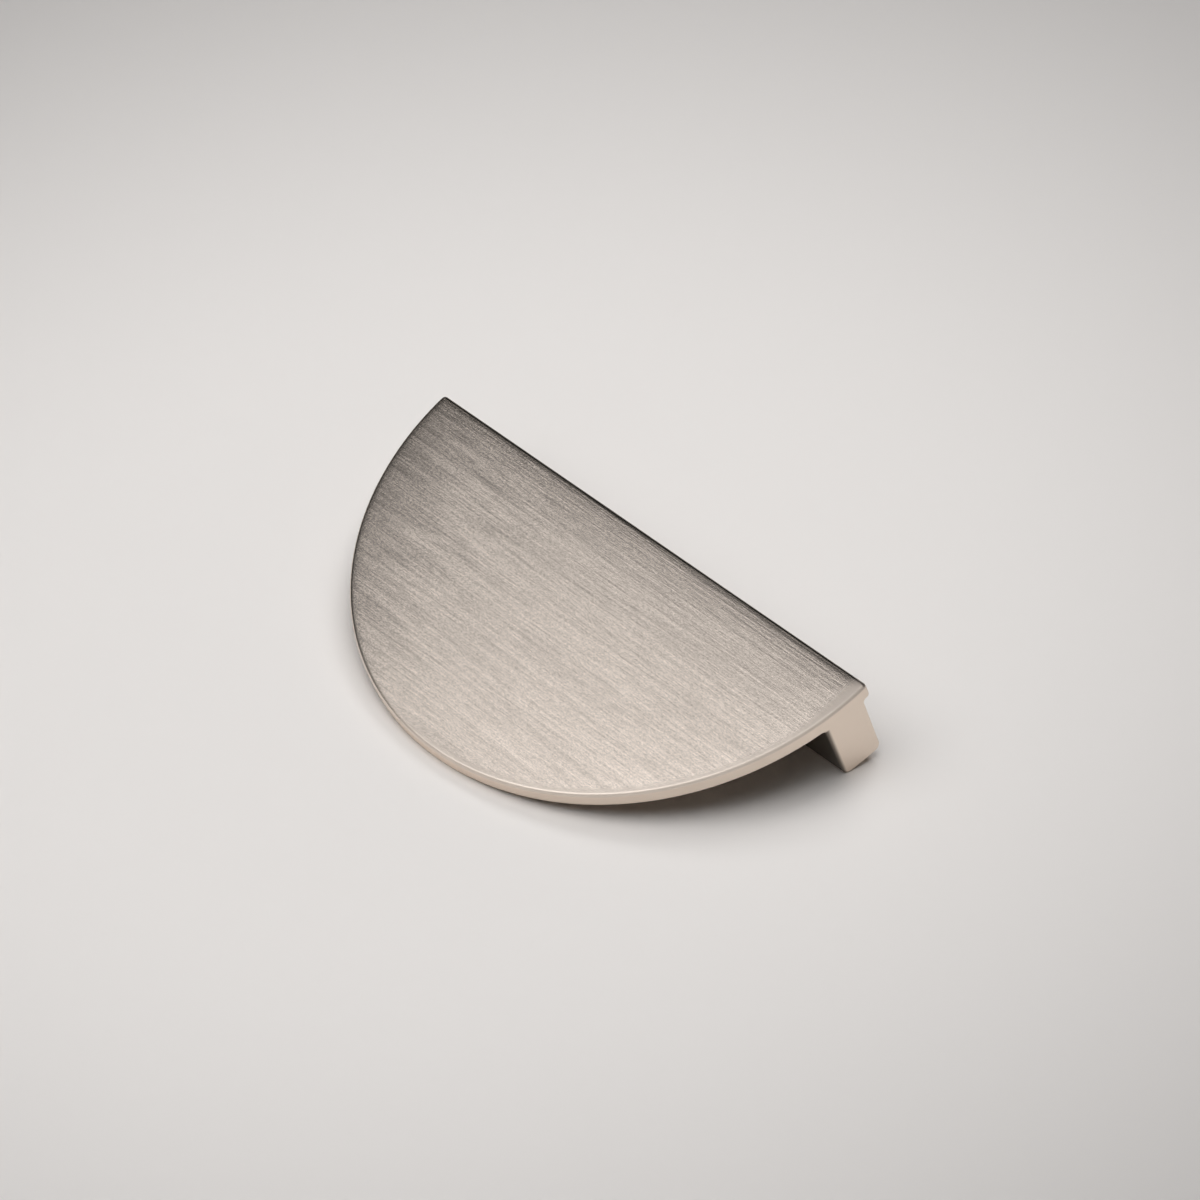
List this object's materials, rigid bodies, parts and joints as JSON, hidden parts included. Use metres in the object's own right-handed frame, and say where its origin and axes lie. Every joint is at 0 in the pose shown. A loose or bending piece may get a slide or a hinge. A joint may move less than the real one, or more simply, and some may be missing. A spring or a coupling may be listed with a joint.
{
  "type": "half-moon cabinet pull",
  "caption": "Half-disc cabinet or drawer pull: a flat finger plate with a mounting bar along its straight edge, in brushed nickel.",
  "frame": {"origin": "middle of the mounting face, on the cabinet's surface, halfway between the two screw holes", "axes": "+X along the straight edge, +Z away from the cabinet towards the front of the plate, -Y from the mounting bar towards the middle of the arc"},
  "size_m": [0.128, 0.064, 0.019],
  "materials": {
    "brushed_nickel": "warm satin nickel; the front of the plate is brushed parallel to the straight edge, the rim and the bar are plain satin"
  },
  "bodies": {
    "root": {"pull": "brushed_nickel"}
  },
  "joints": []
}
